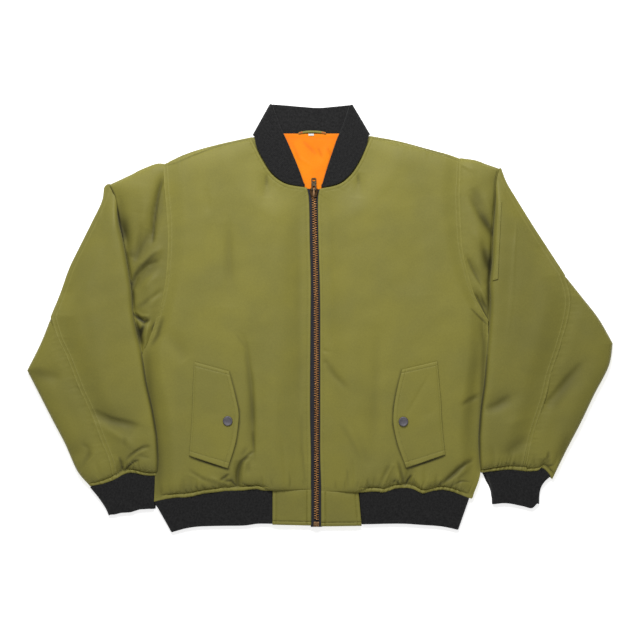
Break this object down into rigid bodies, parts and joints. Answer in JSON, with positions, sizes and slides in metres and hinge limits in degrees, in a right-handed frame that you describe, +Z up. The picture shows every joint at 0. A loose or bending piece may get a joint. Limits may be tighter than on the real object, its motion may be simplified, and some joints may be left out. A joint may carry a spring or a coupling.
{
  "type": "bomber jacket",
  "caption": "Padded bomber jacket laid flat, front up and zipped, with rib-knit collar, cuffs and hem, snap-flap side pockets and a sleeve pocket",
  "frame": {"origin": "centre of the footprint, on the surface that the jacket lies on", "axes": "+X from the wearer's right sleeve to the left sleeve, +Y from the hem to the collar, +Z up from the surface"},
  "size_m": [0.996, 0.7272, 0.0277],
  "materials": {
    "olive_nylon": "plain nylon twill with a soft sheen, over padding",
    "black_rib_knit": "matte fine rib knit",
    "orange_lining": "smooth bright nylon lining",
    "zip_tape": "matte woven tape",
    "aged_brass": "darkened, with bright worn edges",
    "dark_snap": "satin dark grey",
    "white_tag": "plain white woven tape, blank"
  },
  "bodies": {
    "jacket": {"back_panel": "olive_nylon", "back_lining": "orange_lining", "front_right": "olive_nylon", "front_left": "olive_nylon", "sleeve_right_head": "olive_nylon", "sleeve_left_head": "olive_nylon", "sleeve_right_front": "olive_nylon", "sleeve_left_front": "olive_nylon", "sleeve_right_elbow": "olive_nylon", "sleeve_left_elbow": "olive_nylon", "sleeve_right_back": "olive_nylon", "sleeve_left_back": "olive_nylon", "hem_block_right": "olive_nylon", "hem_block_left": "olive_nylon", "pocket_flap_right": "olive_nylon", "pocket_flap_left": "olive_nylon", "arm_pocket": "olive_nylon", "hanger_loop": "olive_nylon", "collar": "black_rib_knit", "hem_band": "black_rib_knit", "cuff_right": "black_rib_knit", "cuff_left": "black_rib_knit", "zip_tape_right": "zip_tape", "zip_tape_left": "zip_tape", "zip_chain": "aged_brass", "zip_box": "aged_brass", "zip_slider": "aged_brass", "snap_cap_right": "dark_snap", "snap_cap_left": "dark_snap", "neck_tag": "white_tag"},
    "pull": {"zip_pull": "aged_brass"}
  },
  "joints": [
    {"name": "pull_swing", "type": "hinge", "parent": "jacket", "child": "pull", "pos_m": [-0.0105, 0.2184, 0.0151], "axis": [1, 0, 0], "range_deg": [0, 160]}
  ]
}
